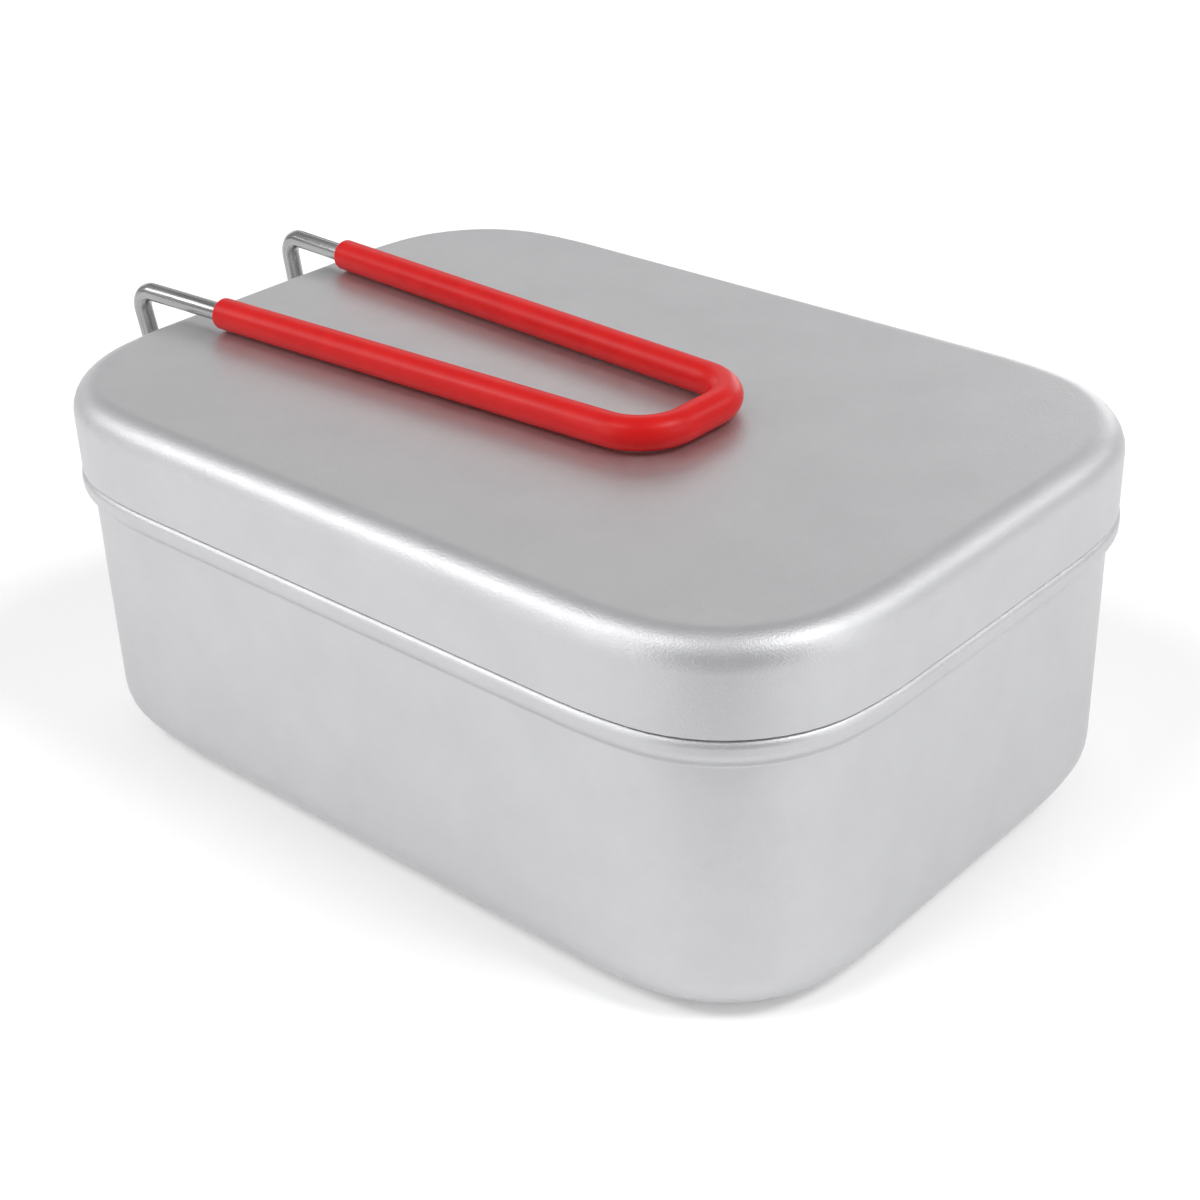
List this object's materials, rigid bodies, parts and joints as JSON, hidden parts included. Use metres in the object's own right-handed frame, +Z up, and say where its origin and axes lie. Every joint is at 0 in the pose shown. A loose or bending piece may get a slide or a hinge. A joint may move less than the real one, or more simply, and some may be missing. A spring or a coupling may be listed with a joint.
{
  "type": "mess tin",
  "caption": "Rectangular aluminium mess tin with rounded corners: deep pan, drop-on lid on a rolled bead, and a sleeved wire handle that folds over the lid.",
  "frame": {"origin": "centre of the pan's flat base, on the surface it stands on", "axes": "+X along the tin's length, away from the handle hinge; +Z up"},
  "size_m": [0.1808, 0.12, 0.0746],
  "materials": {
    "tin_aluminium": "satin, finely blasted",
    "rivet_aluminium": "satin",
    "bracket_steel": "satin stainless sheet",
    "wire_steel": "drawn stainless wire, fine lengthwise lines",
    "red_sleeve": "smooth silicone tube, soft sheen"
  },
  "bodies": {
    "pan_body": {"pan": "tin_aluminium", "handle_bracket": "bracket_steel", "rivet_left": "rivet_aluminium", "rivet_right": "rivet_aluminium"},
    "lid_body": {"lid": "tin_aluminium"},
    "handle_body": {"handle_wire": "wire_steel", "handle_sleeve": "red_sleeve"}
  },
  "joints": [
    {"name": "handle_swing", "type": "hinge", "parent": "pan_body", "child": "handle_body", "pos_m": [-0.08898, 0, 0.041], "axis": [0, -1, 0], "range_deg": [0, 176]},
    {"name": "lid_lift", "type": "slide", "parent": "pan_body", "child": "lid_body", "axis": [0, 0, 1], "range_m": [0, 0.037]}
  ],
  "couplings": [
    {"joint": "lid_lift", "follows": "handle_swing", "m_per_rad": 0.012}
  ]
}
